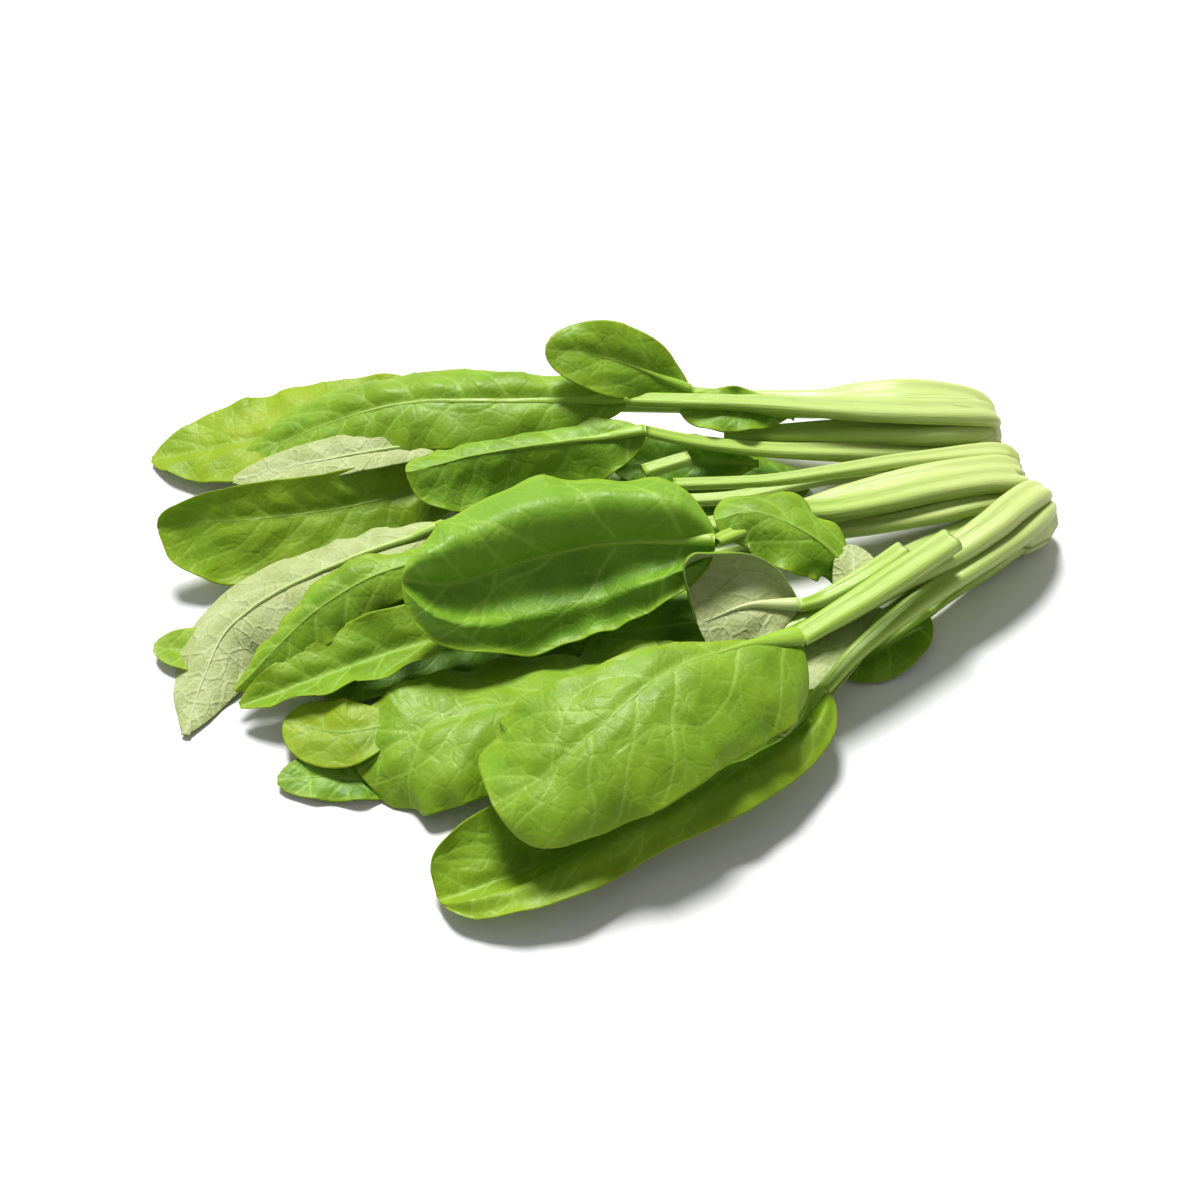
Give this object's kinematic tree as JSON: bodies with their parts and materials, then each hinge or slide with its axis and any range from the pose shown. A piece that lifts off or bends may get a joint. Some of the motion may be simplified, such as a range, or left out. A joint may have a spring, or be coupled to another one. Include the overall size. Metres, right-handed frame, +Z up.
{
  "type": "komatsuna bunch",
  "caption": "Bunch of komatsuna lying on its side: long spoon-shaped leaves on thick pale stalks, joined at rounded crowns and fanned out at the tips.",
  "frame": {"origin": "centre of the bounding box in plan, on the surface that the bunch lies on", "axes": "+X from the leaf tips to the crowns, +Y from the cut leaves laid in front to the plant at the back, +Z up"},
  "size_m": [0.3206, 0.2306, 0.0549],
  "materials": {
    "blade": "fresh leaf, upper side: mid green with paler veins, softly glossy",
    "blade_under_up": "fresh leaf, underside: pale grey green, matt, with raised veins",
    "stalk": "fleshy stalk: pale lime to whitish, ribbed lengthwise, moist sheen",
    "crown": "whitish green crown with a cut, slightly browned root end"
  },
  "bodies": {
    "root": {"a_crown": "crown", "b_crown": "crown", "c_crown": "crown", "a_far_stalk": "stalk", "a_top_stalk": "stalk", "a_small_stalk": "stalk", "a_arched_stalk": "stalk", "a_crumpled_stalk": "stalk", "a_inner_stalk": "stalk", "b_cut_stalk": "stalk", "b_cup_stalk": "stalk", "b_pale_stalk": "stalk", "b_hollow_stalk": "stalk", "b_green_stalk": "stalk", "c_wide_stalk": "stalk", "loose_drape_stalk": "stalk", "loose_curl_stalk": "stalk", "loose_front_stalk": "stalk", "c_trough_stalk": "stalk", "c_shade_stalk": "stalk", "c_underside_stalk": "stalk", "c_inner_stalk": "stalk", "a_far_blade": "blade", "a_top_blade": "blade", "a_small_blade": "blade", "a_arched_blade": "blade", "a_crumpled_blade": "blade", "a_inner_blade": "blade", "a_pale_blade": "blade_under_up", "a_under_blade": "blade", "b_cup_blade": "blade", "b_pale_blade": "blade_under_up", "b_green_blade": "blade", "b_inner_blade": "blade", "b_tip_blade": "blade", "b_under_blade": "blade", "b_hollow_blade": "blade", "b_drape_blade": "blade", "b_lip_blade": "blade_under_up", "loose_curl_blade": "blade_under_up", "c_wide_blade": "blade", "c_under_blade": "blade", "loose_front_blade": "blade", "c_trough_blade": "blade", "c_dark_blade": "blade", "c_yellow_blade": "blade", "c_shade_blade": "blade", "c_underside_blade": "blade_under_up"}
  },
  "joints": []
}
